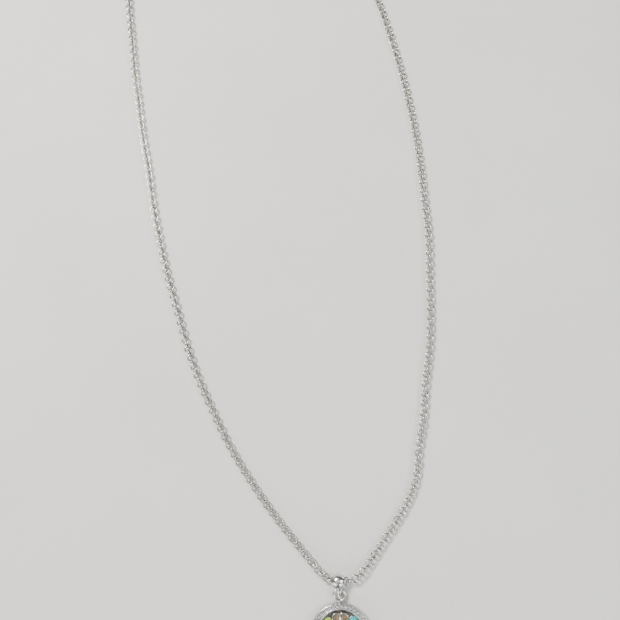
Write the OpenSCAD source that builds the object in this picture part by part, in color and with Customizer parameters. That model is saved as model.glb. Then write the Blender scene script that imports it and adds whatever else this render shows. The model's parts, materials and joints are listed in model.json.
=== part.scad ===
// Pendant necklace laid out flat, clasp open. Millimetres, +Z up.
// The origin is the centre of the pendant's flat back; the chain runs away from it towards +Y.

/* [Chain] */
// Outside diameter of one round chain link
link_d = 2.4; // [2.2:0.05:2.6]
// Wire thickness of a chain link
link_wire = 0.46; // [0.4:0.02:0.5]
// Air between two linked wires
link_gap = 0.02; // [0.01:0.01:0.04]
// Links on each side of the middle link in the part that runs through the bail
centre_links = 8; // [6:2:10]
// Links in each movable stretch of chain
segment_links = 20; // [12:2:20]

/* [Pendant] */
// Outside radius of the pendant
pendant_r = 8.8; // [8.8:0.1:9.6]
// Height of the stone-set rim above the pendant's flat back
rim_h = 2.45; // [2.3:0.05:2.8]
// Thickness of the back plate
plate_h = 0.5; // [0.4:0.05:0.6]
// Number of small stones round the rim
halo_count = 40; // [24:1:42]
// Girdle diameter of a rim stone
halo_d = 1.05; // [0.8:0.05:1.1]
// Anticlockwise turn of the pendant as it lies
pendant_turn = 2.3; // [0:0.1:5]

/* [Flower] */
// Radius of each petal lobe
lobe_r = 1.33; // [1.2:0.01:1.34]
// Thickness of the flower's silver walls
wall = 0.26; // [0.2:0.02:0.3]
// Height of the flower's silver walls above the back plate
flower_h = 1.45; // [1.2:0.05:1.6]
// Radius of the round cabochon stones
cabochon_r = 1.25; // [1.0:0.01:1.25]

/* [Ring and bail] */
// Wire thickness of the ring soldered to the pendant
ring_wire = 0.8; // [0.6:0.05:0.85]
// Outside diameter of that ring
ring_d = 4.0; // [3.8:0.1:4.2]
// Widest part of the bail's face
bail_w = 3.7; // [3.4:0.1:3.8]
// Thickness of the bail's strap
strap = 0.6; // [0.5:0.05:0.65]
// Tilt of the bail as it lies
bail_turn = 6.5; // [0:0.5:8]

/* [Clasp] */
// Thickness of the lobster clasp's body
clasp_h = 2.2; // [2.1:0.05:2.3]
// Outside radius of the clasp's hook
hook_r = 2.3; // [2.2:0.1:2.5]
// Wire thickness of the end ring
end_wire = 0.7; // [0.5:0.05:0.7]
// Outside diameter of the end ring
end_d = 4.6; // [4.2:0.1:5]

/* [Hidden] */
$fn = 48;
clear = 0.02; // air between parts that are set into one another
SIDE_NODES = 8; // movable stretches of chain on each side

silver = "silver";
bright = "gainsboro";

// ---------- Chain route: points on the centre line of the chain, from under the bail outwards ----------
rest_z = link_d / 2; // links standing on edge touch the ground
bail_z = 1.9; // the chain is lifted where the bail's strap passes under it
left_points = [
    [1.3, 14.6, bail_z], [-0.85, 14.35, bail_z], [-2.15, 14.5, bail_z], [-4.1, 15.35, 1.85], [-6, 16.93, 1.7],
    [-8.1, 19.2, 1.4], [-12, 23.6, rest_z], [-19.5, 32.5, rest_z], [-26.5, 42, rest_z], [-33, 52, rest_z],
    [-38.5, 62.5, rest_z], [-43.5, 73, rest_z], [-47.5, 83.5, rest_z], [-51, 94.5, rest_z],
    [-54.5, 105.5, rest_z], [-57.5, 117, rest_z], [-60, 128, rest_z], [-62, 139.5, rest_z],
    [-64.5, 151, rest_z], [-66.5, 163, rest_z], [-68.5, 174.5, rest_z], [-70, 186, rest_z],
    [-71.5, 197, rest_z], [-72.5, 210, rest_z], [-71, 223, rest_z], [-66.5, 235, rest_z],
    [-59, 245, rest_z], [-49, 253, rest_z]
];
right_points = [
    [1.3, 14.6, bail_z], [2.6, 14.75, bail_z], [4.4, 15.35, 1.85], [6.4, 17.2, 1.7], [8.3, 19.6, 1.4],
    [13, 26.4, rest_z], [18, 34, rest_z], [21, 40, rest_z], [22.5, 45.5, rest_z], [23, 51.5, rest_z],
    [24.5, 60, rest_z], [25.5, 71, rest_z], [27, 82.5, rest_z], [27.5, 94, rest_z], [27.5, 105.5, rest_z],
    [27.5, 117, rest_z], [26.5, 128.5, rest_z], [25.5, 140, rest_z], [24, 152, rest_z], [22, 163.5, rest_z],
    [19.5, 175, rest_z], [16.5, 186.5, rest_z], [13, 198, rest_z], [9, 210, rest_z], [5, 222, rest_z],
    [1, 234, rest_z], [-3, 246, rest_z], [-7, 258, rest_z]
];

// Catmull-Rom curve through a list of points, as a dense polyline
spline_steps = 8;
function blend(a, b, c, d, t) =
    0.5 * (2 * b + (c - a) * t + (2 * a - 5 * b + 4 * c - d) * t * t + (3 * b - a - 3 * c + d) * t * t * t);
function curve(p, before) = [
    for (i = [0:len(p) - 2], j = [0:spline_steps - 1])
        blend(i == 0 ? before : p[i - 1], p[i], p[i + 1], p[min(i + 2, len(p) - 1)], j / spline_steps)
];

// The length along a polyline at each of its points
function lengths(p) = [
    for (i = 0, s = 0; i < len(p); i = i + 1, s = s + (i < len(p) ? norm(p[i] - p[i - 1]) : 0)) s
];

// The stretch of a polyline, and then the point on it, that lies a length s along it
function span(s, table, low, high) =
    high - low < 2 ? low
    : let (m = floor((low + high) / 2)) table[m] > s ? span(s, table, low, m) : span(s, table, m, high);
function place(p, table, s) =
    let (i = span(s, table, 0, len(p) - 1), u = (s - table[i]) / (table[i + 1] - table[i]))
    p[i] + (p[i + 1] - p[i]) * u;

left_curve = curve(left_points, right_points[1]);
right_curve = curve(right_points, left_points[1]);
left_lengths = lengths(left_curve);
right_lengths = lengths(right_curve);

// Link k lies k pitches along the route: below 0 to the left, above 0 to the right
link_ring = (link_d - link_wire) / 2;
pitch = link_d - 2 * link_wire - link_gap;
function link_at(k) =
    k < 0 ? place(left_curve, left_lengths, -k * pitch) : place(right_curve, right_lengths, k * pitch);
function run(k) = link_at(k + (k < 0 ? -0.5 : 0.5)) - link_at(k - (k < 0 ? -0.5 : 0.5));
function heading(v) = atan2(v.y, v.x);
function slope(v) = atan2(v.z, norm([v.x, v.y]));
function unit(v) = v / norm(v);
function first_link(seg) = centre_links + 1 + (seg - 1) * segment_links;
last_left = centre_links + SIDE_NODES * segment_links;
last_right = last_left + 1;

// The vertical wire that each stretch turns on: the near end of its first link, which stands on edge
function pivot(side, seg) =
    let (k = side * first_link(seg)) link_at(k) - link_ring * unit(run(k));

module ring(outer_d, wire) {
    rotate_extrude()
        translate([(outer_d - wire) / 2, 0])
            circle(d = wire, $fn = 24);
}

// Even links lie flat and odd ones stand on edge
module link(k) {
    v = run(k);
    translate(link_at(k))
        rotate([0, -slope(v), heading(v)])
            rotate([k % 2 == 0 ? 0 : 90, 0, 0])
                ring(link_d, link_wire);
}

module links(from, to) {
    color(silver)
        for (k = [from:to])
            link(k);
}

module chain_centre() {
    links(-centre_links, centre_links);
}

module chain_left(seg) {
    links(-first_link(seg) - segment_links + 1, -first_link(seg));
}

module chain_right(seg) {
    links(first_link(seg), first_link(seg) + segment_links - (seg == SIDE_NODES ? 0 : 1));
}

// ---------- Pendant ----------
plate_r = pendant_r - 0.2;
rim_inner_r = pendant_r - 2.03;
collar_wall = 0.25;
halo_r = (pendant_r + rim_inner_r) / 2;
groove_half = 0.56; // half-width of the groove that the rim stones sit in
groove_depth = 0.6;
light_hole_r = 0.8; // holes in the back behind the stones
stone_ring_r = 5.1; // distance of the cabochons from the centre
lobe_x = 1.0;
lobe_y = 4.45;
base_y = 1.42;
cup_r = 1.32; // outside radius of the centre cup

module pendant_frame() {
    rotate([0, 0, pendant_turn])
        children();
}

module back_plate() {
    color(silver)
        pendant_frame()
            difference() {
                rotate_extrude()
                    polygon([
                        [0, 0], [plate_r - 0.25, 0], [plate_r, 0.2], [plate_r, plate_h], [0, plate_h]
                    ]);
                for (k = [0:3])
                    rotate([0, 0, 45 + 90 * k])
                        translate([0, stone_ring_r, -1])
                            cylinder(r = light_hole_r, h = plate_h + 2);
            }
}

module halo_rim() {
    color(bright)
        pendant_frame()
            rotate_extrude()
                polygon([
                    [rim_inner_r, plate_h], [pendant_r, plate_h], [pendant_r, rim_h - 0.35],
                    [pendant_r - 0.2, rim_h], [halo_r + groove_half, rim_h],
                    [halo_r, rim_h - groove_depth], [halo_r - groove_half, rim_h],
                    [rim_inner_r + 0.15, rim_h], [rim_inner_r, rim_h - 0.2]
                ]);
}

// A round brilliant: a flat table, a girdle and a pointed pavilion
module brilliant(r, crown, pavilion) {
    cylinder(r1 = r, r2 = 0.55 * r, h = crown);
    mirror([0, 0, 1])
        cylinder(r1 = r, r2 = 0.02, h = pavilion);
}

module halo_stones() {
    girdle_z = rim_h + 0.03;
    color("white")
        pendant_frame()
            for (k = [0:halo_count - 1])
                rotate([0, 0, 360 * (k + 0.5) / halo_count])
                    translate([0, halo_r, girdle_z])
                        brilliant(halo_d / 2, 0.2, groove_depth - 0.08);
}

module inner_collar() {
    outer = rim_inner_r - clear;
    color(bright)
        pendant_frame()
            rotate_extrude()
                polygon([
                    [outer - collar_wall, plate_h], [outer, plate_h],
                    [outer, rim_h - 0.5], [outer - collar_wall, rim_h - 0.75]
                ]);
}

// One notched petal pointing along +Y, drawn in by `inset` all round
module petal_outline(inset) {
    for (side = [-1, 1])
        translate([side * lobe_x, lobe_y])
            circle(r = lobe_r - inset);
    polygon([
        [-0.42 + 0.6 * inset, base_y + inset], [0.42 - 0.6 * inset, base_y + inset], [2.05 - inset, 3.75],
        [lobe_x, lobe_y], [0, lobe_y + 0.7 - inset], [-lobe_x, lobe_y], [-2.05 + inset, 3.75]
    ]);
}

module flower_frame() {
    color(bright)
        pendant_frame()
            for (k = [0:3])
                rotate([0, 0, 90 * k])
                    translate([0, 0, plate_h])
                        linear_extrude(flower_h)
                            difference() {
                                petal_outline(0);
                                petal_outline(wall);
                            }
}

enamel_h = 0.95;
module petal_enamel(k) {
    color("#8a7660")
        pendant_frame()
            rotate([0, 0, 90 * (k - 1)])
                translate([0, 0, plate_h])
                    linear_extrude(enamel_h)
                        petal_outline(wall + clear);
}

// The white drop that lies along each petal
module petal_drops() {
    drop_r = 0.3;
    color("ivory")
        pendant_frame()
            for (k = [0:3])
                rotate([0, 0, 90 * k])
                    translate([0, 3.1, plate_h + enamel_h + drop_r])
                        rotate([-90, 0, 0])
                            cylinder(r = drop_r, h = 1.75);
}

cup_wall = 0.08;
module cabochon_cups() {
    color(bright)
        pendant_frame()
            for (k = [0:3])
                rotate([0, 0, 45 + 90 * k])
                    translate([0, stone_ring_r, plate_h])
                        difference() {
                            cylinder(r = cabochon_r + cup_wall, h = 0.55);
                            translate([0, 0, 0.1])
                                cylinder(r = cabochon_r + 0.01, h = 1);
                            translate([0, 0, -1])
                                cylinder(r = light_hole_r, h = 2);
                        }
}

// A domed stone: a sphere cut off by its flat base, on a short straight girdle
module cabochon(k) {
    girdle_h = 0.4;
    dome_h = 0.85;
    sphere_r = (cabochon_r * cabochon_r + dome_h * dome_h) / (2 * dome_h);
    colours = ["turquoise", "yellowgreen", "turquoise", "yellowgreen"];
    color(colours[k - 1])
        pendant_frame()
            rotate([0, 0, -45 - 90 * (k - 1)])
                translate([0, stone_ring_r, plate_h + 0.12]) {
                    intersection() {
                        translate([0, 0, girdle_h + dome_h - sphere_r])
                            sphere(r = sphere_r);
                        cylinder(r = cabochon_r, h = 2);
                    }
                }
}

module centre_cup() {
    color(bright)
        pendant_frame()
            translate([0, 0, plate_h])
                difference() {
                    cylinder(r = cup_r, h = 1.45);
                    translate([0, 0, 0.5])
                        cylinder(r = cup_r - 0.2, h = 2);
                }
}

module centre_stone() {
    color("white")
        pendant_frame()
            translate([0, 0, plate_h + 1.35])
                brilliant(cup_r - 0.22, 0.4, 0.8);
}

// ---------- Ring and bail ----------
ring_z = 1.3;
ring_y = pendant_r + ring_d / 2 - 0.1; // the ring is soldered a little way into the rim
hinge_y = ring_y + (ring_d - ring_wire) / 2;
hinge_at = [-hinge_y * sin(pendant_turn), hinge_y * cos(pendant_turn), ring_z];

module pendant_ring() {
    color(silver)
        pendant_frame()
            translate([0, ring_y, ring_z])
                ring(ring_d, ring_wire);
}

// The bail's own frame: the ring's wire at the origin, the chain's eye towards +Y
eye_y = 2.35;
eye_z = 2.15 - ring_z;
eye_r = 1.5;
foot_r = 0.58;
foot_w = 0.48; // half-width of the strap where it passes round the ring's wire
leaf_z = 0.6; // the leaf clears the ring's wire above this height
tip_y = 2.15;

module bail_side(grow) {
    translate([eye_y, eye_z])
        circle(r = eye_r + grow);
    circle(r = foot_r + 0.75 * grow);
    polygon([
        [-0.1, -foot_r - 0.72 * grow], [eye_y, eye_z - eye_r - 0.97 * grow],
        [eye_y, eye_z + eye_r + 0.97 * grow], [-0.1, foot_r + 0.72 * grow]
    ]);
}

// The front leaf as seen from above, from the domed top to the tip that hangs over the ring's hole
module bail_face() {
    translate([0, eye_y + 0.1])
        circle(d = bail_w);
    polygon([
        [-0.33, -tip_y], [0.33, -tip_y], [0.55, -1.3], [0.74, -0.3], [0.84, 0.3],
        [bail_w / 2 - 0.2, eye_y - 0.7], [0, eye_y + 1], [0.2 - bail_w / 2, eye_y - 0.7],
        [-0.84, 0.3], [-0.74, -0.3], [-0.55, -1.3]
    ]);
}

// The strap behind it, narrow enough at the foot to turn on the ring's curved wire
module bail_back() {
    translate([0, eye_y + 0.1])
        circle(d = bail_w - 0.1);
    polygon([
        [-foot_w, -2], [foot_w, -2], [foot_w, 0.4], [bail_w / 2 - 0.45, eye_y - 1], [0, eye_y + 1],
        [0.45 - bail_w / 2, eye_y - 1], [-foot_w, 0.4]
    ]);
}

module bail_strap() {
    intersection() {
        rotate([90, 0, 90])
            linear_extrude(6, center = true)
                difference() {
                    bail_side(strap);
                    bail_side(0);
                }
        union() {
            translate([0, 0, -4])
                linear_extrude(8)
                    bail_back();
            translate([0, 0, leaf_z])
                linear_extrude(4)
                    bail_face();
        }
    }
}

module bail_tip() {
    intersection() {
        rotate([90, 0, 90])
            linear_extrude(5, center = true)
                polygon([
                    [-tip_y - 0.1, 0.62], [-tip_y - 0.1, 0.85], [-0.4, 1.1],
                    [0.1, 1.1], [0.1, 0.72], [-0.4, 0.7]
                ]);
        translate([0, 0, -3])
            linear_extrude(6)
                bail_face();
    }
}

module bail() {
    color(silver)
        translate(hinge_at)
            rotate([0, 0, bail_turn]) {
                bail_strap();
                bail_tip();
            }
}

// ---------- Clasp on the left end, end ring on the right end ----------
clasp_ring_d = 2.8;
clasp_ring_wire = 0.5;
clasp_ring_r = (clasp_ring_d - clasp_ring_wire) / 2;
clasp_mid = clasp_h / 2;
eyelet_h = 0.7;
eyelet_r = 0.62;
gate_h = 0.8;
slot_h = 0.9;
hook_y = 6.4;
hook_hole_r = 1.35;
pin_r = 0.3;
pin_at = [0.5, 2.9];
gate_r = 4.65; // the lever's tip sweeps past the hook's tip at this distance from the pin

left_end = link_at(-last_left);
left_run = unit(run(-last_left));
clasp_turn = heading(left_run);
clasp_ring_pivot = [left_end.x, left_end.y, clasp_ring_d / 2] + (link_ring - 0.5) * left_run;
clasp_ring_at = clasp_ring_pivot + clasp_ring_r * left_run;
clasp_pivot = clasp_ring_at + clasp_ring_r * left_run;

module clasp_ring() {
    color(silver)
        translate(clasp_ring_at)
            rotate([0, 0, clasp_turn])
                rotate([90, 0, 0])
                    ring(clasp_ring_d, clasp_ring_wire);
}

// The clasp's own frame: its eyelet at the origin, its hook towards +Y, its back on the ground
module clasp_frame() {
    translate([clasp_pivot.x, clasp_pivot.y, 0])
        rotate([0, 0, clasp_turn - 90])
            children();
}

module hook_outline() {
    difference() {
        union() {
            translate([0, hook_y])
                circle(r = hook_r);
            polygon([
                [-0.75, 0.9], [0.75, 0.9], [1.15, 2.4], [1.3, 4.8], [0, 5.6], [-1.6, 4.9], [-1.25, 2.4]
            ]);
        }
        translate([0, hook_y])
            circle(r = hook_hole_r);
        intersection() {
            polygon([[0.6, hook_y - 0.9], [3.5, hook_y - 1.6], [3.5, 9], [0.75, 9]]);
            translate(pin_at)
                circle(r = gate_r + 0.2);
        }
    }
}

module clasp_body() {
    color(silver)
        clasp_frame()
            difference() {
                union() {
                    linear_extrude(clasp_h)
                        hook_outline();
                    translate([0, 0, clasp_mid - eyelet_h / 2])
                        linear_extrude(eyelet_h)
                            difference() {
                                union() {
                                    circle(r = eyelet_r + 0.5);
                                    translate([-0.6, 0.6])
                                        square([1.2, 0.6]);
                                }
                                circle(r = eyelet_r);
                            }
                }
                translate([0, 0, clasp_mid - slot_h / 2])
                    linear_extrude(slot_h)
                        polygon([[-0.55, 2.0], [3, 2.0], [3, 6.5], [0.5, 6.5], [-0.75, 5.6]]);
                translate([pin_at.x, pin_at.y, -1])
                    cylinder(r = pin_r + 0.01, h = clasp_h + 2);
            }
}

module clasp_lever() {
    color(bright)
        clasp_frame()
            translate([0, 0, clasp_mid - gate_h / 2])
                difference() {
                    linear_extrude(gate_h) {
                        intersection() {
                            difference() {
                                translate([0, hook_y])
                                    circle(r = hook_r - 0.1);
                                translate([0, hook_y])
                                    circle(r = hook_hole_r + 0.08);
                            }
                            polygon([[0.7, hook_y - 2.2], [3.2, hook_y - 1.2], [3.2, 9], [0.8, 9]]);
                            translate(pin_at)
                                circle(r = gate_r);
                        }
                        polygon([
                            [-0.1, 2.3], [1.0, 2.3], [1.15, 2.75], [2.3, 2.85],
                            [2.35, 3.3], [1.35, 3.55], [1.6, 5.0], [0.8, 5.1]
                        ]);
                    }
                    translate([pin_at.x, pin_at.y, -1])
                        cylinder(r = pin_r + 0.04, h = gate_h + 2);
                    translate([pin_at.x, pin_at.y, gate_h - 0.35])
                        cylinder(r = 0.5, h = 1);
                }
}

module clasp_pin() {
    color("lightgray")
        clasp_frame()
            translate([pin_at.x, pin_at.y, 0.15])
                cylinder(r = pin_r, h = clasp_h - 0.3);
}

// The coiled spring round the pin, in the lever's recess
module clasp_spring() {
    color("gray")
        clasp_frame()
            translate([pin_at.x, pin_at.y, clasp_mid + gate_h / 2 - 0.3])
                difference() {
                    cylinder(r = 0.47, h = 0.3);
                    translate([0, 0, -1])
                        cylinder(r = pin_r + 0.02, h = 2);
                }
}

right_end = link_at(last_right);
right_run = unit(run(last_right));
end_ring_z = 0.95;
end_ring_pivot = [right_end.x, right_end.y, end_ring_z] + link_ring * right_run;
end_ring_at = end_ring_pivot + ((end_d - end_wire) / 2 + 0.2 - link_ring) * right_run;

module end_ring() {
    color(silver)
        translate(end_ring_at)
            ring(end_d, end_wire);
}

back_plate();
halo_rim();
halo_stones();
inner_collar();
flower_frame();
for (k = [1:4])
    petal_enamel(k);
petal_drops();
cabochon_cups();
for (k = [1:4])
    cabochon(k);
centre_cup();
centre_stone();
pendant_ring();
bail();
chain_centre();
for (k = [1:SIDE_NODES])
    chain_left(k);
for (k = [1:SIDE_NODES])
    chain_right(k);
clasp_ring();
clasp_body();
clasp_lever();
clasp_pin();
clasp_spring();
end_ring();

// The upright axes that the stretches of chain turn on
echo(left_axes = [for (seg = [1:SIDE_NODES]) pivot(-1, seg)]);
echo(right_axes = [for (seg = [1:SIDE_NODES]) pivot(1, seg)]);
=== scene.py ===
import json
import math
import random

import bmesh
import bpy
import numpy as np
from mathutils import Matrix, Vector


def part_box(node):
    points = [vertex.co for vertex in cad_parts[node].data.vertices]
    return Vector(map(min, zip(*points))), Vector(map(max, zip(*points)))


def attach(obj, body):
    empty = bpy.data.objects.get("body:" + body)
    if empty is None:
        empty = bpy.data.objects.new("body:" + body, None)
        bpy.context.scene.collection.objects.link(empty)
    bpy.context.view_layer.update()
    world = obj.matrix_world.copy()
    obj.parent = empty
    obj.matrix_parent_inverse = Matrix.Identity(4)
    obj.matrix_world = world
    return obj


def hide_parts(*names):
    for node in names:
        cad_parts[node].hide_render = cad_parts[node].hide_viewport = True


# The looks of a pendant necklace laid flat. Shapes are worked out in millimetres, in the frame of the part
# they belong to, and go into the scene in metres.
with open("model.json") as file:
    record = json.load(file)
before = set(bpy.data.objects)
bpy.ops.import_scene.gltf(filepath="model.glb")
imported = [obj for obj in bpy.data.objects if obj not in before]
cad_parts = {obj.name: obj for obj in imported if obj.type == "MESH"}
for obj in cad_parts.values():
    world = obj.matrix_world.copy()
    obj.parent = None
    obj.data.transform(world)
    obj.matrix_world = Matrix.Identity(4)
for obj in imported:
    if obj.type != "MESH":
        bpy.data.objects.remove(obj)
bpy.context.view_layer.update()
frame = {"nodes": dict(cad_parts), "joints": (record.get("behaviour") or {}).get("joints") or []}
MM = 0.001
TAU = 2 * math.pi
WELD = 0.002 * MM  # points nearer than this become one
SHORTEST_EDGE = 0.0005 * MM  # edges shorter than this are taken out
joints = {joint["name"]: joint for joint in frame["joints"]}

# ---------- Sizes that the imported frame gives, in millimetres ----------


def spot(joint):
    """Where a joint's axis passes, in millimetres."""
    return Vector(joints[joint]["pos_m"]) / MM


def levels(node):
    """Lowest and highest Z of a CAD node, in millimetres."""
    low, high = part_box(node)
    return low.z / MM, high.z / MM


def half_width(node):
    """Half the size of a CAD node along X, in millimetres."""
    low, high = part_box(node)
    return (high.x - low.x) / 2 / MM


RING_WIRE_AT = spot("pendant_swing")
BAIL_EYE_AT = spot("bail_swing")
PENDANT_TURN = math.atan2(-RING_WIRE_AT.x, RING_WIRE_AT.y)
BAIL_TURN = math.atan2(-joints["bail_swing"]["axis"][1], -joints["bail_swing"]["axis"][0])
PLATE_TOP = levels("back_plate")[1]
RIM_TOP = levels("halo_rim")[1]
RIM_R = half_width("halo_rim")
PLATE_R = half_width("back_plate")
PENDANT = Matrix.Rotation(PENDANT_TURN, 4, "Z")
BAIL = Matrix.Translation(RING_WIRE_AT) @ Matrix.Rotation(BAIL_TURN, 4, "Z")

# ---------- Mesh helpers ----------


def grid_faces(rows, columns, close_rows, close_columns):
    """Quads over a grid of points numbered row by row."""
    faces = []
    for i in range(rows if close_rows else rows - 1):
        row, next_row = i * columns, (i + 1) % rows * columns
        for j in range(columns if close_columns else columns - 1):
            beside = (j + 1) % columns
            faces.append((row + j, row + beside, next_row + beside, next_row + j))
    return faces


def loft(rings, closed=False):
    """A skin over rings of points, closed on itself or capped at both ends."""
    points = [Vector(point) for ring in rings for point in ring]
    count = len(rings[0])
    faces = grid_faces(len(rings), count, closed, True)
    if not closed:
        for ring, start in ((rings[0], 0), (rings[-1], (len(rings) - 1) * count)):
            middle = sum((Vector(point) for point in ring), Vector()) / count
            points.append(middle)
            hub = len(points) - 1
            faces += [(start + j, start + (j + 1) % count, hub) for j in range(count)]
    return points, faces


def circle(radius, z, count, x=0.0, y=0.0, offset=0.0):
    """Points round a circle about (x, y), the first of them a share of a step past the X axis."""
    turns = [TAU * (j + offset) / count for j in range(count)]
    return [(x + radius * math.cos(turn), y + radius * math.sin(turn), z) for turn in turns]


def lathe(profile, count=96, closed=False):
    """A shape turned about Z from (radius, height) points."""
    smallest = 1e-5  # keeps the points of a ring on the axis apart until they are welded
    return loft([circle(max(radius, smallest), z, count) for radius, z in profile], closed)


def rounded(profile, radius, steps=4):
    """A closed outline with its corners rounded."""
    most = 0.45  # the share of a side that a corner may take
    corners = [Vector(point) for point in profile]
    result = []
    for i, corner in enumerate(corners):
        before, after = corners[i - 1] - corner, corners[(i + 1) % len(corners)] - corner
        cut = min(radius, most * before.length, most * after.length)
        start, end = corner + before.normalized() * cut, corner + after.normalized() * cut
        for k in range(steps + 1):
            t = k / steps
            result.append((1 - t) ** 2 * start + 2 * t * (1 - t) * corner + t * t * end)
    return [tuple(point) for point in result]


def arc(x, y, radius, start, end, count):
    """Points along an arc, angles in degrees."""
    angles = [math.radians(start + (end - start) * k / (count - 1)) for k in range(count)]
    return [(x + radius * math.cos(a), y + radius * math.sin(a)) for a in angles]


def prism(outline, low, high):
    """An upright solid over any outline without holes."""
    count = len(outline)
    points = [Vector((x, y, z)) for z in (low, high) for x, y in outline]
    return points, grid_faces(2, count, False, True) + [tuple(range(count)), tuple(range(count, 2 * count))]


def smooth_path(stations, steps):
    """More stations between the given ones, along smooth curves."""
    result = []
    for i in range(len(stations) - 1):
        a, b = stations[max(i - 1, 0)], stations[i]
        c, d = stations[i + 1], stations[min(i + 2, len(stations) - 1)]
        for k in range(steps):
            t = k / steps
            result.append(tuple(
                0.5 * (2 * q + (r - p) * t
                       + (2 * p - 5 * q + 4 * r - s) * t * t
                       + (3 * q - p - 3 * r + s) * t**3)
                for p, q, r, s in zip(a, b, c, d)))
    return result + [stations[-1]]


def moved(shape, matrix):
    """A shape with its points put through a matrix."""
    points, faces = shape
    return [matrix @ Vector(point) for point in points], faces


def joined(shapes):
    """Several shapes as one list of points and faces."""
    points, faces = [], []
    for more_points, more_faces in shapes:
        start = len(points)
        points += more_points
        faces += [tuple(start + index for index in face) for face in more_faces]
    return points, faces


def set_tarnish(mesh, values):
    """Stores how much patina and painted shade darken each point of a mesh, from 0 to 1."""
    attribute = mesh.attributes.new("tarnish", "FLOAT", "POINT")
    attribute.data.foreach_set("value", np.asarray(values, np.float32))


def piece(name, shape, material, body, slot, node=None,
          place=Matrix.Identity(4), flat=False, sharp=35.0, tarnish=None):
    """Makes a mesh object in metres that rides on a CAD body, and may stand for a CAD node.

    Edges sharper than the angle in degrees stay sharp. Points with patina and painted shade values aren't
    welded."""
    points, faces = shape
    mesh = bpy.data.meshes.new(name)
    mesh.from_pydata([(place @ Vector(point)) * MM for point in points], [], faces)
    if tarnish is not None:
        set_tarnish(mesh, tarnish)
    work = bmesh.new()
    work.from_mesh(mesh)
    if tarnish is None:
        bmesh.ops.remove_doubles(work, verts=work.verts, dist=WELD)
        bmesh.ops.dissolve_degenerate(work, edges=work.edges, dist=SHORTEST_EDGE)
    bmesh.ops.recalc_face_normals(work, faces=work.faces)
    for face in work.faces:
        face.smooth = not flat
    for edge in work.edges:
        edge.smooth = edge.calc_face_angle(0.0) < math.radians(sharp)
    work.to_mesh(mesh)
    work.free()
    made = bpy.data.objects.new(name, mesh)
    bpy.context.collection.objects.link(made)
    mesh.materials.append(material)
    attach(made, body)
    if node:
        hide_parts(node)
    return made


# ---------- Materials ----------


def new_material(name):
    """A new material, its node tree and its surface shader."""
    material = bpy.data.materials.new(name)
    material.use_nodes = True
    return material, material.node_tree, material.node_tree.nodes["Principled BSDF"]


def noise(tree, scale, detail=3.0, stretch=(1, 1, 1), attribute=None):
    """Noise over the object, in features per millimetre, or over a stored attribute."""
    if attribute:
        source = tree.nodes.new("ShaderNodeAttribute")
        source.attribute_name = attribute
        vector, unit = source.outputs["Vector"], 1.0
    else:
        vector, unit = tree.nodes.new("ShaderNodeTexCoord").outputs["Object"], 1 / MM
    mapping = tree.nodes.new("ShaderNodeMapping")
    mapping.inputs["Scale"].default_value = [unit * s for s in stretch]
    texture = tree.nodes.new("ShaderNodeTexNoise")
    texture.inputs["Scale"].default_value = scale
    texture.inputs["Detail"].default_value = detail
    tree.links.new(vector, mapping.inputs["Vector"])
    tree.links.new(mapping.outputs["Vector"], texture.inputs["Vector"])
    return texture.outputs["Fac"]


def ramp(tree, factor, stops):
    """A colour ramp through (position, colour) stops."""
    node = tree.nodes.new("ShaderNodeValToRGB")
    elements = node.color_ramp.elements
    elements[0].position, elements[-1].position = stops[0][0], stops[-1][0]
    for position, _ in stops[1:-1]:
        elements.new(position)
    for element, (_, colour) in zip(elements, stops):
        element.color = (*colour, 1.0)
    tree.links.new(factor, node.inputs["Fac"])
    return node.outputs["Color"]


def spread(tree, factor, low, high):
    """Stretches the middle of a noise, where nearly all of its values lie, to the range from low to high."""
    node = tree.nodes.new("ShaderNodeMapRange")
    node.inputs["From Min"].default_value = 0.3
    node.inputs["From Max"].default_value = 0.7
    node.inputs["To Min"].default_value = low
    node.inputs["To Max"].default_value = high
    tree.links.new(factor, node.inputs["Value"])
    return node.outputs["Result"]


def mixed(tree, factor, colour, tint):
    """A colour that goes over to a fixed tint as the factor rises."""
    node = tree.nodes.new("ShaderNodeMix")
    node.data_type = "RGBA"
    tree.links.new(factor, node.inputs["Factor"])
    tree.links.new(colour, node.inputs["A"])
    node.inputs["B"].default_value = (*tint, 1.0)
    return node.outputs["Result"]


def bumped(tree, shader, height, strength, depth_mm):
    """Small dents and bumps on a surface, from a height that varies over it."""
    node = tree.nodes.new("ShaderNodeBump")
    node.inputs["Strength"].default_value = strength
    node.inputs["Distance"].default_value = depth_mm * MM
    tree.links.new(height, node.inputs["Height"])
    tree.links.new(node.outputs["Normal"], shader.inputs["Normal"])


def metal(name, light, shade, roughness, scratch, dark=(0.16, 0.145, 0.125)):
    """Polished metal with soft patches, fine scratches, and patina and painted shade where a stored value per
    point says.
    """
    material, tree, shader = new_material(name)
    shader.inputs["Metallic"].default_value = 1.0
    patches = ramp(tree, noise(tree, 0.8), [(0.3, shade), (0.65, light)])
    # A stored value per point darkens the colour towards dark: patina, and painted shade in hollows.
    tarnish = tree.nodes.new("ShaderNodeAttribute")
    tarnish.attribute_name = "tarnish"
    colour = mixed(tree, tarnish.outputs["Fac"], patches, dark)
    tree.links.new(colour, shader.inputs["Base Color"])
    tree.links.new(spread(tree, noise(tree, 1.8, 3.0), *roughness), shader.inputs["Roughness"])
    bumped(tree, shader, noise(tree, 9.0, 6.0, (1.0, 0.12, 0.4)), scratch, 0.004)
    return material


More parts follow.
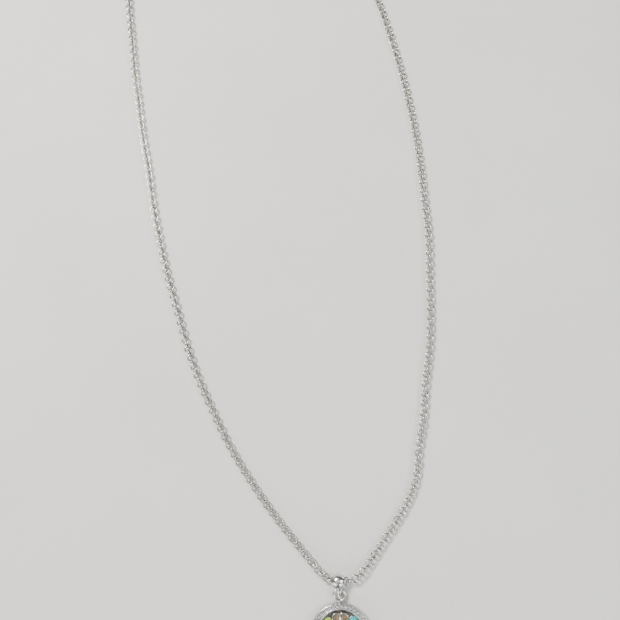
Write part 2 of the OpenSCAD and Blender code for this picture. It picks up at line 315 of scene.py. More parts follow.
def stone(name, stops, scale):
    """An opaque polished stone with mottled colour under a clear gloss."""
    material, tree, shader = new_material(name)
    tree.links.new(ramp(tree, noise(tree, scale, 6.0), stops), shader.inputs["Base Color"])
    tree.links.new(spread(tree, noise(tree, 6.0), 0.05, 0.12), shader.inputs["Roughness"])
    shader.inputs["Coat Weight"].default_value = 0.3
    shader.inputs["Coat Roughness"].default_value = 0.04
    bumped(tree, shader, noise(tree, 3.0, 4.0), 0.15, 0.006)
    return material


def clear_stone():
    """A faceted clear stone, very faintly tinted."""
    material, tree, shader = new_material("clear_stone")
    tint = ramp(tree, noise(tree, 0.9), [(0.3, (0.90, 0.93, 0.97)), (0.7, (1.0, 0.99, 0.98))])
    tree.links.new(tint, shader.inputs["Base Color"])
    tree.links.new(spread(tree, noise(tree, 4.0), 0.0, 0.04), shader.inputs["Roughness"])
    shader.inputs["Transmission Weight"].default_value = 0.8
    shader.inputs["IOR"].default_value = 2.1
    return material


def enamel(name, stops, stretch):
    """Glossy enamel, streaked along its petal."""
    material, tree, shader = new_material(name)
    streaks = noise(tree, 1.0, 5.0, stretch, "petal")
    tree.links.new(ramp(tree, streaks, stops), shader.inputs["Base Color"])
    tree.links.new(spread(tree, noise(tree, 5.0), 0.10, 0.22), shader.inputs["Roughness"])
    shader.inputs["Coat Weight"].default_value = 0.5
    shader.inputs["Coat Roughness"].default_value = 0.05
    bumped(tree, shader, streaks, 0.2, 0.02)
    return material


# Each metal: colour of its light and dark patches, roughness range, strength of its scratches, colour of its
# patina and painted shade.
CHAIN_SILVER = metal(
    "chain_silver", (0.60, 0.58, 0.54), (0.42, 0.40, 0.36), (0.16, 0.24), 0.12, dark=(0.05, 0.045, 0.04))
BAIL_SILVER = metal("bail_silver", (0.78, 0.77, 0.73), (0.62, 0.61, 0.59), (0.20, 0.27), 0.05)
RIM_SILVER = metal(
    "rim_silver", (0.74, 0.73, 0.71), (0.58, 0.57, 0.56), (0.17, 0.24), 0.1, dark=(0.10, 0.10, 0.11))
CELL_SILVER = metal(
    "cell_silver", (0.72, 0.71, 0.68), (0.52, 0.51, 0.49), (0.16, 0.24), 0.12, dark=(0.06, 0.06, 0.05))
PLATE_SILVER = metal(
    "plate_silver", (0.68, 0.67, 0.65), (0.56, 0.55, 0.53), (0.28, 0.40), 0.15, dark=(0.10, 0.10, 0.092))
CLASP_SILVER = metal("clasp_silver", (0.68, 0.67, 0.64), (0.56, 0.55, 0.52), (0.12, 0.18), 0.08)
STEEL = metal("spring_steel", (0.62, 0.61, 0.60), (0.45, 0.44, 0.44), (0.22, 0.30), 0.15)
CLEAR = clear_stone()
TURQUOISE = stone("turquoise_stone", [
    (0.25, (0.0, 0.10, 0.22)),
    (0.42, (0.0, 0.33, 0.38)),
    (0.55, (0.0, 0.54, 0.46)),
    (0.75, (0.12, 0.62, 0.34)),
], 0.55)
CHARTREUSE = stone("green_stone", [
    (0.25, (0.06, 0.20, 0.01)),
    (0.42, (0.27, 0.44, 0.03)),
    (0.58, (0.52, 0.68, 0.08)),
    (0.75, (0.66, 0.76, 0.20)),
], 0.5)
TAUPE = enamel("taupe_enamel", [
    (0.25, (0.037, 0.024, 0.013)),
    (0.45, (0.107, 0.078, 0.042)),
    (0.60, (0.20, 0.15, 0.085)),
    (0.75, (0.31, 0.26, 0.16)),
], (3.2, 0.35, 1.0))
WHITE = enamel("white_enamel", [
    (0.25, (0.78, 0.74, 0.68)),
    (0.55, (0.88, 0.87, 0.84)),
    (0.8, (0.93, 0.93, 0.92)),
], (1.2, 0.5, 1.0))

# ---------- Camera, light and floor ----------
EYE_AT = (-0.00096, 0.0526, 0.2126)
EYE_RIGHT = Vector((0.99924, 0.00739, -0.03839))
EYE_UP = Vector((0.0, 0.98197, 0.18910))
LIT_Y = 0.1
LIT_AT = Vector((0, LIT_Y, 0))  # the middle of the necklace, which the lamps face
FLOOR_SIDE, FLOOR_CELLS, FLOOR_Z = 1.6, 8, -0.00002


def add_camera():
    """A camera almost straight above the chain, with the pendant at the bottom edge of its picture."""
    camera = bpy.data.objects.new("camera", bpy.data.cameras.new("camera"))
    bpy.context.collection.objects.link(camera)
    camera.data.sensor_width = 36.0
    camera.data.lens = 40.65
    camera.data.clip_start = 0.01
    back = EYE_RIGHT.cross(EYE_UP).normalized()
    turn = Matrix((EYE_RIGHT, back.cross(EYE_RIGHT), back)).transposed()
    camera.matrix_world = Matrix.Translation(EYE_AT) @ turn.to_4x4()
    bpy.context.scene.camera = camera


def add_softbox(name, place, size, power, colour):
    """A square lamp that faces the middle of the necklace."""
    data = bpy.data.lights.new(name, "AREA")
    data.size, data.energy, data.color = size, power, colour
    lamp = bpy.data.objects.new(name, data)
    lamp.location = place
    lamp.rotation_mode = "QUATERNION"
    lamp.rotation_quaternion = (Vector(place) - LIT_AT).to_track_quat("Z", "Y")
    bpy.context.collection.objects.link(lamp)


def add_sky():
    """A studio that is bright overhead and darker towards the horizon."""
    world = bpy.data.worlds.new("studio")
    world.use_nodes = True
    bpy.context.scene.world = world
    tree = world.node_tree
    direction = tree.nodes.new("ShaderNodeTexCoord")
    split = tree.nodes.new("ShaderNodeSeparateXYZ")
    tree.links.new(direction.outputs["Generated"], split.inputs["Vector"])
    horizon, low_sky, overhead = (0.06, 0.06, 0.065), (0.11, 0.11, 0.115), (0.8, 0.79, 0.77)
    sky = ramp(tree, split.outputs["Z"], [(0.0, horizon), (0.86, low_sky), (0.95, overhead)])
    tree.links.new(sky, tree.nodes["Background"].inputs["Color"])
    tree.nodes["Background"].inputs["Strength"].default_value = 1.25


def add_floor():
    """A plain pale floor just under the necklace."""
    step = FLOOR_SIDE / FLOOR_CELLS
    places = [(k - FLOOR_CELLS / 2) * step for k in range(FLOOR_CELLS + 1)]
    points = [(x, y + LIT_Y, FLOOR_Z) for y in places for x in places]
    mesh = bpy.data.meshes.new("floor")
    mesh.from_pydata(points, [], grid_faces(FLOOR_CELLS + 1, FLOOR_CELLS + 1, False, False))
    floor = bpy.data.objects.new("floor", mesh)
    bpy.context.collection.objects.link(floor)
    material, tree, shader = new_material("pale_floor")
    tint = ramp(tree, noise(tree, 0.02), [(0.3, (0.64, 0.63, 0.61)), (0.7, (0.68, 0.67, 0.65))])
    tree.links.new(tint, shader.inputs["Base Color"])
    shader.inputs["Roughness"].default_value = 0.7
    mesh.materials.append(material)


add_camera()
add_sky()
add_floor()
add_softbox("key", (-0.30, 0.36, 0.50), 0.18, 7.5, (1.0, 0.97, 0.92))
add_softbox("fill", (0.36, 0.02, 0.44), 0.22, 1.6, (0.93, 0.97, 1.0))
add_softbox("front_warm", (-0.26, -0.30, 0.24), 0.34, 1.3, (1.0, 0.95, 0.84))
add_softbox("front_cool", (0.22, -0.34, 0.22), 0.28, 0.9, (0.88, 0.94, 1.0))

# ---------- Chain ----------
SEAM_STEPS = (-0.12, -0.05, -0.025, 0.0, 0.025, 0.05, 0.12)  # extra sections about a ring's seam, in radians
GROOVE_ARC, BULGE_ARC = 0.03, 0.14  # half the seam's groove and half the solder's bulge, in radians
BULGE = 0.025  # how much thicker the wire is there
WEAR_ARC = 0.35  # the sine of the angle to the X axis within which a ring is worn


def solids_of(node):
    """The vertices of each separate solid in a CAD node, in millimetres."""
    mesh = frame["nodes"][node].data
    points = np.empty(len(mesh.vertices) * 3)
    mesh.vertices.foreach_get("co", points)
    points = points.reshape(-1, 3) / MM
    edges = np.empty(len(mesh.edges) * 2, int)
    mesh.edges.foreach_get("vertices", edges)
    edges = edges.reshape(-1, 2)
    label = np.arange(len(points))
    while True:
        low = np.minimum(label[edges[:, 0]], label[edges[:, 1]])
        merged = label.copy()
        np.minimum.at(merged, edges[:, 0], low)
        np.minimum.at(merged, edges[:, 1], low)
        merged = merged[merged]
        if (merged == label).all():
            return [points[label == first] for first in np.unique(label)]
        label = merged


def ring_frame(points):
    """Centre, axis, middle radius and wire radius of a round ring, from its surface points."""
    directions = np.linalg.eigh(np.cov(points.T))[1]
    along = points @ directions
    low, high = along.min(0), along.max(0)
    wire = (high[0] - low[0]) / 2
    outside = (high[2] - low[2]) / 2
    return Vector(directions @ ((low + high) / 2)), Vector(directions[:, 0]), outside - wire, wire


def wire_ring(radius, wire, seam, segments=44, sides=16, wear=0.05, seam_depth=0.07):
    """A wire ring about Z with a soldered seam, worn flat inside where its neighbours pull along X.

    Returns its points, faces and for each point how much patina and painted shade darken it."""
    turns = [TAU * k / segments for k in range(segments)]
    turns += [seam + step for step in SEAM_STEPS]
    turns = sorted(turn % TAU for turn in turns)
    points, tarnish = [], []
    for turn in turns:
        off_seam = math.remainder(turn - seam, TAU)
        groove = math.exp(-((off_seam / GROOVE_ARC) ** 2))
        bulge = math.exp(-((off_seam / BULGE_ARC) ** 2))
        pull = math.exp(-((math.sin(turn) / WEAR_ARC) ** 2))
        for k in range(sides):
            about = TAU * k / sides
            inward = max(0.0, -math.cos(about))
            thick = wire * (1 + BULGE * bulge - seam_depth * groove - wear * pull * inward**2)
            reach = radius + thick * math.cos(about)
            points.append(Vector((reach * math.cos(turn), reach * math.sin(turn), thick * math.sin(about))))
            # Patina and painted shade on the ring's inner side, less where its neighbours rub it, and darker
            # in the seam's groove.
            tarnish.append(min(1.0, 0.75 * inward**2 * (1 - 0.5 * pull) + 0.6 * groove))
    return points, grid_faces(len(turns), sides, True, True), tarnish


def ring_place(centre, axis, run):
    """Where a ring made about Z goes: its centre, its axis and the direction that its X axis takes."""
    place = Matrix((run, axis.cross(run), axis)).transposed().to_4x4()
    place.translation = centre
    return place


def chain_piece(name, node, body):
    """Every link of one stretch of chain, each set where its CAD link is.

    A link faces the nearest other one, give or take a small random turn."""
    rings = [ring_frame(solid) for solid in solids_of(node)]
    shapes, tarnish = [], []
    for centre, axis, radius, wire in rings:
        gaps = [other[0] - centre for other in rings if other[0] != centre]
        nearest = min(gaps, key=lambda gap: gap.length)
        run = (nearest - axis * nearest.dot(axis)).normalized()
        run.rotate(Matrix.Rotation(math.radians(random.uniform(-2.0, 2.0)), 3, axis))
        place = ring_place(centre, axis, run)
        seam = random.choice((0.5, 1.5)) * math.pi + random.uniform(-0.5, 0.5)
        points, faces, patina_and_shade_values = wire_ring(radius, wire * random.uniform(0.97, 0.995), seam)
        shapes.append(moved((points, faces), place))
        tarnish += [value * random.uniform(0.75, 1.0) for value in patina_and_shade_values]
    return piece(name, joined(shapes), CHAIN_SILVER, body, "chain_silver", node, tarnish=tarnish)


random.seed(7)
chain_piece("links_centre", "chain_centre", "chain_centre")
for side_name in ("left", "right"):
    for number in range(1, 9):
        stretch = f"chain_{side_name}_{number}"
        chain_piece(f"links_{side_name}_{number}", stretch, stretch)


def single_ring(name, node, body, seam):
    """A lone wire ring, such as the clasp's ring or the end ring."""
    centre, axis, radius, wire = ring_frame(solids_of(node)[0])
    run = axis.orthogonal().normalized() if abs(axis.z) < 0.9 else Vector((1, 0, 0))
    points, faces, patina_and_shade_values = wire_ring(radius, wire * 0.99, seam, 72, 24, wear=0.02, seam_depth=0.16)
    shape = moved((points, faces), ring_place(centre, axis, run))
    return piece(name, shape, CLASP_SILVER, body, "polished_silver", node, tarnish=patina_and_shade_values)


single_ring("clasp_ring_wire", "clasp_ring", "clasp_ring", 0.8)
single_ring("end_ring_wire", "end_ring", "end_ring", 2.4)

# ---------- Bail ----------
EYE_Y = math.hypot(BAIL_EYE_AT.x - RING_WIRE_AT.x, BAIL_EYE_AT.y - RING_WIRE_AT.y)
EYE_Z = BAIL_EYE_AT.z - RING_WIRE_AT.z
BAIL_HALF = 1.85  # half the bail's greatest width
EYE_PATH_R = 1.8  # middle of the strap round the chain's eye
BAIL_DOME = 0.12  # the strap's edges lie this much lower than its ridge, inside and out
FOOT_PATH_R = 0.80  # middle of the strap round the ring's wire
TIP_Y = 2.15  # how far the tip of the leaf reaches past the ring's wire
BAIL_ACROSS = 28  # points round the strap


def bail_path():
    """The strap's middle line in the bail's side view: (y, z, half width, thickness) from tip to foot."""
    front = [
        (-TIP_Y, 0.74, 0.20, 0.16), (-TIP_Y + 0.1, 0.74, 0.36, 0.22), (-1.85, 0.75, 0.48, 0.26),
        (-1.5, 0.77, 0.58, 0.29), (-1.1, 0.80, 0.66, 0.33), (-0.7, 0.88, 0.74, 0.37),
        (-0.35, 1.03, 0.82, 0.42), (0.0, 1.29, 0.96, 0.47), (0.35, 1.60, 1.28, 0.50),
        (0.7, 1.90, 1.56, 0.53), (1.05, 2.17, 1.72, 0.55), (1.4, 2.39, 1.80, 0.57),
        (1.75, 2.56, 1.84, 0.58), (2.1, 2.64, 1.85, 0.58),
    ]
    top = []
    for k in range(17):
        turn = math.radians(84 - 170 * k / 16)
        y = EYE_Y + EYE_PATH_R * math.cos(turn)
        wide = math.sqrt(max(BAIL_HALF**2 - (y - EYE_Y - 0.15) ** 2, 0.3))
        top.append((y, EYE_Z + EYE_PATH_R * math.sin(turn), wide, 0.59))
    back = [
        (2.0, -0.95, 1.72, 0.56), (1.6, -0.93, 1.50, 0.54), (1.2, -0.90, 1.20, 0.50),
        (0.8, -0.87, 0.85, 0.47), (0.4, -0.84, 0.50, 0.45), (0.1, -0.81, 0.47, 0.44),
    ]
    foot = []
    for k in range(9):
        turn = math.radians(-97 - 125 * k / 8)
        foot.append((FOOT_PATH_R * math.cos(turn), FOOT_PATH_R * math.sin(turn), 0.46, 0.42))
    return smooth_path(front + top + back + foot, 2)


def bail_section(y, z, half, thick, out):
    """The strap's outline at one place of its path, with rounded edges. The dome faces along out."""
    ring = []
    for k in range(BAIL_ACROSS):
        turn = TAU * k / BAIL_ACROSS
        u = math.cos(turn)
        crown = 0.5 * thick - 0.75 * thick * abs(u) ** 1.8 if math.sin(turn) >= 0 else -0.5 * thick
        inside = max(0.0, 1 - abs(u) ** 6)  # 1 in the strap's middle and 0 at its edges
        droop = BAIL_DOME * half / BAIL_HALF * u * u
        height = crown * inside + (1 - inside) * -0.35 * thick - droop
        ring.append(Vector((half * math.copysign(abs(u) ** 0.9, u), y, z)) + out * height)
    return ring


def bail_shape():
    """The strap swept along its path, domed outside with a soft ridge and flat inside."""
    path = bail_path()
    rings = []
    for i, (y, z, half, thick) in enumerate(path):
        before, after = path[max(i - 1, 0)], path[min(i + 1, len(path) - 1)]
        along = Vector((0, after[0] - before[0], after[1] - before[1])).normalized()
        rings.append(bail_section(y, z, half, thick, Vector((0, -along.z, along.y))))
    return loft(rings)


piece("bail_strap", bail_shape(), BAIL_SILVER, "bail", "polished_silver", "bail", BAIL, sharp=50)

# ---------- Pendant ----------
RIM_INNER_R = RIM_R - 2.03
HALO_R = (RIM_R + RIM_INNER_R) / 2  # the row of small stones on the rim
HALO_COUNT, HALO_STONE_R = 40, 0.52
STONE_RING_R = 5.1  # the cabochons' distance from the centre
CABOCHON_R, LIGHT_HOLE_R = 1.25, 0.8
# How dark the painted shade is on the collar step and on the plate's front.
COLLAR_PAINTED_SHADE, PLATE_PAINTED_SHADE = 0.35, 0.92
WALL = 0.26  # thickness of a petal's wall
WALL_TOP = levels("flower_frame")[1]
ENAMEL_TOP = levels("petal_enamel_1")[1]
LOBE_X, LOBE_Y, LOBE_R = 1.0, 4.70, 1.33  # the right lobe of the petal that lies along +Y
BASE_HALF, BASE_Y = 0.42, 1.42  # that petal's lower right corner


def in_groove(point):
    """Painted shade in the rim's groove under its stones and down its inner side."""
    radius = math.hypot(point[0], point[1])
    low = point[2] < RIM_TOP - 0.08
    return 0.5 if low and abs(radius - HALO_R) < 0.58 else 0.6 if low and radius < RIM_INNER_R + 0.1 else 0.0


def in_recess(point):
    """Painted shade that fades out towards the tops of the cell walls."""
    return min(0.9, max(0.0, (WALL_TOP - 0.05 - point[2]) / 0.5))


def pendant_piece(name, shape, material, slot, node=None, **more):
    """A piece on the pendant's body, from a shape in the pendant's own frame."""
    return piece(name, shape, material, "pendant", slot, node, PENDANT, **more)


def around(shape, count, first=0.0):
    """Copies of a shape, evenly spaced about Z."""
    return joined([moved(shape, Matrix.Rotation(first + TAU * k / count, 4, "Z")) for k in range(count)])


def plate_shape():
    """The back plate as rings from the rim inwards, with four light holes, from a filled curve."""
    curve = bpy.data.curves.new("plate", "CURVE")
    curve.dimensions = "2D"
    curve.fill_mode = "BOTH"
    edge = 0.08
    curve.extrude = PLATE_TOP / 2 - edge
    curve.bevel_depth = edge
    curve.bevel_resolution = 2
    turns = [TAU * (k + 0.5) / 4 for k in range(4)]
    holes = [(-STONE_RING_R * math.sin(turn), STONE_RING_R * math.cos(turn)) for turn in turns]
    outlines = [(PLATE_R - edge, 128, 0.0, 0.0)] + [(LIGHT_HOLE_R + edge, 32, x, y) for x, y in holes]
    for radius, count, x, y in outlines:
        spline = curve.splines.new("POLY")
        spline.points.add(count - 1)
        for point, at in zip(spline.points, circle(radius, 0.0, count, x, y)):
            point.co = (*at, 1.0)
        spline.use_cyclic_u = True
    return curve_shape(curve, PLATE_TOP / 2)


def darken_front(plate):
    """Painted shade on the plate's front, which shows between the stones, and none on its back."""
    heights = [vertex.co.z / MM / PLATE_TOP for vertex in plate.data.vertices]
    set_tarnish(plate.data, [PLATE_PAINTED_SHADE * min(1.0, height) for height in heights])


def curve_shape(curve, lift):
    """A flat curve's filled and bevelled solid as points and faces, raised by lift."""
    holder = bpy.data.objects.new("holder", curve)
    bpy.context.collection.objects.link(holder)
    mesh = bpy.data.meshes.new_from_object(holder.evaluated_get(bpy.context.evaluated_depsgraph_get()))
    points = [vertex.co + Vector((0, 0, lift)) for vertex in mesh.vertices]
    faces = [tuple(polygon.vertices) for polygon in mesh.polygons]
    bpy.data.objects.remove(holder)
    bpy.data.curves.remove(curve)
    bpy.data.meshes.remove(mesh)
    return points, faces


def rim_shape():
    """The rim, with a groove for its stones."""
    profile = [
        (RIM_INNER_R, PLATE_TOP), (RIM_R, PLATE_TOP), (RIM_R, RIM_TOP - 0.35), (RIM_R - 0.22, RIM_TOP),
        (HALO_R + 0.56, RIM_TOP), (HALO_R + 0.30, RIM_TOP - 0.35), (HALO_R - 0.30, RIM_TOP - 0.35),
        (HALO_R - 0.56, RIM_TOP), (RIM_INNER_R + 0.15, RIM_TOP), (RIM_INNER_R, RIM_TOP - 0.2),
    ]
    return lathe(rounded(profile, 0.10), 160, closed=True)


def brilliant(radius, crown, pavilion, table=0.56):
    """A round brilliant: table, star and kite facets, sixteen-sided girdle and pavilion."""
    points = circle(table * radius, crown, 8) + circle(0.80 * radius, 0.55 * crown, 8, offset=0.5)
    points += circle(radius, 0.0, 16) + circle(radius, -0.06 * radius, 16)
    points += circle(0.5 * radius, -0.5 * pavilion, 8, offset=0.5) + [(0.0, 0.0, -pavilion)]
    star, upper, deep, culet = 8, 16, 48, 56  # where the rings of points start
    faces = [tuple(range(8))]
    for k in range(8):
        ahead = (k + 1) % 8
        girdle = [upper + (2 * k + step) % 16 for step in range(3)]
        low = [index + 16 for index in girdle]
        faces += [
            (k, star + k, ahead),
            (star + k, girdle[1], girdle[2]),
            (star + k, girdle[0], girdle[1]),
            (k, girdle[0], star + k),
            (ahead, star + k, girdle[2]),
            (girdle[0], low[0], low[1], girdle[1]),
            (girdle[1], low[1], low[2], girdle[2]),
            (low[0], deep + k, low[1]),
            (low[1], deep + k, low[2]),
            (low[2], deep + k, deep + ahead),
            (deep + k, culet, deep + ahead),
        ]
    return [Vector(point) for point in points], faces


def half_oval(radius, height, step):
    """The (radius, height) points of a turned oval, upwards, with one every step degrees."""
    turns = [math.radians(angle) for angle in range(-90, 91, step)]
    return [(radius * math.cos(turn), height * math.sin(turn)) for turn in turns]


def bead(radius):
    """A small cast bead, a little flatter than a ball."""
    return lathe(half_oval(radius, 0.8 * radius, 18), 14)


def halo_pieces():
    """The small stones on the rim, and two beads in every gap between them."""
    seat = Matrix.Translation((0, HALO_R, RIM_TOP + 0.03))
    stones = around(moved(brilliant(HALO_STONE_R, 0.2, 0.5), seat), HALO_COUNT, TAU / HALO_COUNT / 2)
    pendant_piece("rim_stones", stones, CLEAR, "clear_stone", "halo_stones", flat=True)
    places = [Matrix.Translation((0, HALO_R + offset, RIM_TOP + 0.04)) for offset in (-0.46, 0.46)]
    prongs = around(joined([moved(bead(0.19), place) for place in places]), HALO_COUNT)
    pendant_piece("rim_prongs", prongs, RIM_SILVER, "pendant_silver")


def tangent_angle(x, y, radius):
    """Where a line from the point (x, y) touches the right-hand side of a petal's right lobe, in degrees."""
    away = math.hypot(x - LOBE_X, y - LOBE_Y)
    return math.degrees(math.atan2(y - LOBE_Y, x - LOBE_X) + math.acos(radius / away))


def petal_outline(inset):
    """One notched petal along +Y, drawn in by inset, always with the same number of points."""
    radius = LOBE_R - inset
    x, y = BASE_HALF - 0.6 * inset, BASE_Y + inset
    start = tangent_angle(x, y, radius)
    notch = 180 - math.degrees(math.acos(LOBE_X / radius))
    lobe = arc(LOBE_X, LOBE_Y, radius, start, notch, 22)
    across, up = lobe[0][0] - x, lobe[0][1] - y
    flank = [(x + across * k / 8, y + up * k / 8) for k in range(8)]
    right = [(0.0, y), (x * 0.5, y)] + flank + lobe
    return right + [(-x, y) for x, y in right[-2:0:-1]]


def petal_wall():
    """The wall of one petal, with its top edges rounded over."""
    top = WALL_TOP
    steps = [
        (0.0, PLATE_TOP), (0.0, top - 0.10), (0.025, top - 0.035), (0.08, top),
        (WALL - 0.08, top), (WALL - 0.025, top - 0.035), (WALL, top - 0.10), (WALL, PLATE_TOP),
    ]
    return loft([[(x, y, z) for x, y in petal_outline(inset)] for inset, z in steps], closed=True)


def petal_fill():
    """Enamel in one petal, a little crowned, with a meniscus at the walls."""
    outline = petal_outline(WALL + 0.01)
    middle = Vector((0.0, 3.95))
    steps = [  # the share of the outline's size, and the height there
        (0.02, PLATE_TOP), (1.0, PLATE_TOP), (1.0, ENAMEL_TOP - 0.02), (0.97, ENAMEL_TOP - 0.07),
        (0.88, ENAMEL_TOP - 0.05), (0.70, ENAMEL_TOP), (0.45, ENAMEL_TOP + 0.04), (0.02, ENAMEL_TOP + 0.06),
    ]
    rings = []
    for share, z in steps:
        rings.append([(*(middle + (Vector(point) - middle) * share), z) for point in outline])
    return loft(rings)


def drop_shape():
    """A drop lying along +Y, pointed towards the flower's centre."""
    low_y, high_y, half = 2.95, 4.95, 0.34
    rings = []
    for k in range(15):
        t = k / 14
        y = low_y + (high_y - low_y) * t
        swell = half * math.sin(math.pi * t**1.6) ** 0.75 if 0 < k < 14 else 0.01
        ring = []
        for j in range(20):
            turn = TAU * j / 20
            ring.append((swell * math.cos(turn), y, ENAMEL_TOP + 0.10 + 0.8 * swell * math.sin(turn)))
        rings.append(ring)
    return loft(rings)


def mark_petal(made, turn):
    """Stores each point's place in its own petal, which the streaks follow."""
    back = Matrix.Rotation(-PENDANT_TURN - turn, 4, "Z")
    values = []
    for vertex in made.data.vertices:
        local = back @ (vertex.co / MM)
        values += (local.x, local.y, turn * 7)
    made.data.attributes.new("petal", "FLOAT_VECTOR", "POINT").data.foreach_set("vector", values)


def flower_pieces():
    """The walls of the four petals, the enamel in each of them and the white drops on it."""
    walls = around(petal_wall(), 4)
    patina_and_shade_values = [in_recess(point) for point in walls[0]]
    pendant_piece("petal_walls", walls, CELL_SILVER, "pendant_silver", "flower_frame", sharp=50, tarnish=patina_and_shade_values)
    for k in range(4):
        turn, node = TAU * k / 4, f"petal_enamel_{k + 1}"
        fill = moved(petal_fill(), Matrix.Rotation(turn, 4, "Z"))
        made = pendant_piece(f"petal_fill_{k + 1}", fill, TAUPE, "taupe_enamel", node, sharp=50)
        mark_petal(made, turn)
    drops = around(drop_shape(), 4)
    made = pendant_piece("white_drops", drops, WHITE, "white_enamel", "petal_drops", sharp=80)
    mark_petal(made, 0.0)


def cabochon_shape():
    """A domed stone with a straight girdle and a small chamfer at its base."""
    low = PLATE_TOP + 0.12
    girdle, dome = 0.40, 0.85
    sphere = (CABOCHON_R**2 + dome**2) / (2 * dome)
    limit = math.asin(CABOCHON_R / sphere)
    profile = [(0.0, low), (CABOCHON_R - 0.08, low), (CABOCHON_R, low + 0.08)]
    for k in range(15):
        turn = limit * (1 - k / 14)
        profile.append((sphere * math.sin(turn), low + girdle + dome - sphere * (1 - math.cos(turn))))
    return lathe(profile, 56)


def bezel_shape(inner, outer, low, high, lip):
    """A cup's wall with its top edge rolled over the stone."""
    profile = [
        (inner, low), (outer, low), (outer, high - 0.05), (outer - 0.02, high + 0.02),
        (inner - 0.3 * lip, high + 0.05), (inner - lip, high + 0.03), (inner - lip, high - 0.02),
        (inner, high - 0.06),
    ]
    return lathe(rounded(profile, 0.03, 2), 64, closed=True)


def stone_pieces():
    """The four cabochons in their cups, and the clear stone in its cup at the centre."""
    kinds = [(TURQUOISE, "turquoise_stone"), (CHARTREUSE, "green_stone")] * 2
    cup = bezel_shape(CABOCHON_R + 0.005, CABOCHON_R + 0.08, PLATE_TOP, PLATE_TOP + 0.55, 0.05)
    cups = []
    for k, (colour, slot) in enumerate(kinds):
        seat = Matrix.Rotation(-TAU * (k + 0.5) / 4, 4, "Z") @ Matrix.Translation((0, STONE_RING_R, 0))
        name, node = f"cabochon_stone_{k + 1}", f"cabochon_{k + 1}"
        pendant_piece(name, moved(cabochon_shape(), seat), colour, slot, node, sharp=60)
        cups.append(moved(cup, seat))
    pendant_piece("bezel_cups", joined(cups), CELL_SILVER, "pendant_silver", "cabochon_cups")
    cup = bezel_shape(1.12, 1.32, PLATE_TOP, levels("centre_cup")[1], 0.08)
    pendant_piece("centre_bezel", cup, RIM_SILVER, "pendant_silver", "centre_cup")
    girdle = Matrix.Translation((0, 0, levels("centre_stone")[1] - 0.4))
    gem = moved(brilliant(1.10, 0.4, 0.8), girdle)
    pendant_piece("centre_brilliant", gem, CLEAR, "clear_stone", "centre_stone", flat=True)


def collar_shape():
    """The thin step inside the rim, which slopes down inwards."""
    outer = RIM_INNER_R - 0.02
    inner = outer - 0.25
    profile = [(inner, PLATE_TOP), (outer, PLATE_TOP), (outer, RIM_TOP - 0.5), (inner, RIM_TOP - 0.75)]
    return lathe(rounded(profile, 0.05), 128, closed=True)


def ring_pieces():
    """The ring on the pendant's edge, and the solder that holds it."""
    centre, _, radius, wire = ring_frame(solids_of("pendant_ring")[0])
    place = Matrix.Translation(centre) @ Matrix.Rotation(PENDANT_TURN, 4, "Z")
    seam = math.radians(-52)
    points, faces, patina_and_shade_values = wire_ring(radius, wire * 0.995, seam, 72, 24, wear=0.0, seam_depth=0.14)
    ring = moved((points, faces), place)
    piece("ring_wire", ring, BAIL_SILVER, "pendant", "polished_silver", "pendant_ring", tarnish=patina_and_shade_values)
    blob = lathe(half_oval(0.62, 0.34, 15), 28)
    flow = Matrix.Translation((0, RIM_R - 0.02, centre.z)) @ Matrix.Diagonal((1.0, 0.45, 1.0, 1.0))
    pendant_piece("ring_solder", moved(blob, flow), BAIL_SILVER, "polished_silver")


def disc_pieces():
    """The back plate, and the rim on it with the collar inside."""
    plate = pendant_piece("pendant_plate", plate_shape(), PLATE_SILVER, "pendant_silver", "back_plate")
    darken_front(plate)
    band, step = rim_shape(), collar_shape()
    patina_and_shade_values = [in_groove(point) for point in band[0]]
    pendant_piece("rim_band", band, RIM_SILVER, "pendant_silver", "halo_rim", tarnish=patina_and_shade_values)
    # Painted shade, even over the whole collar step inside the rim.
    patina_and_shade_values = [COLLAR_PAINTED_SHADE] * len(step[0])
    pendant_piece("collar_step", step, CELL_SILVER, "pendant_silver", "inner_collar", tarnish=patina_and_shade_values)


disc_pieces()
halo_pieces()
flower_pieces()
stone_pieces()
ring_pieces()

# ---------- Clasp ----------
CLASP_AT = spot("clasp_turn")
PIN_AT = Vector((0.5, 2.9))  # the lever's pin, in the clasp's own frame
PIN_HOLE_R, LEVER_HOLE_R = 0.31, 0.34
SLOT_HALF, LEVER_HALF = 0.45, 0.39  # half the height of the slot and of the lever in it
CREASE = math.radians(40)  # edges sharper than this stay sharp, or are rounded off
PIN_WORLD = spot("lever_press")
CLASP_TURN = math.atan2(PIN_WORLD.y - CLASP_AT.y, PIN_WORLD.x - CLASP_AT.x) - math.atan2(PIN_AT.y, PIN_AT.x)
CLASP = Matrix.Translation((CLASP_AT.x, CLASP_AT.y, 0)) @ Matrix.Rotation(CLASP_TURN, 4, "Z")
CLASP_TOP = levels("clasp_body")[1]
CLASP_MID = CLASP_TOP / 2
HOOK_Y, HOOK_R, HOOK_HOLE_R = 6.4, 2.3, 1.35
TIP_SWEEP_R = 4.85  # the hook's tip lies this far from the pin


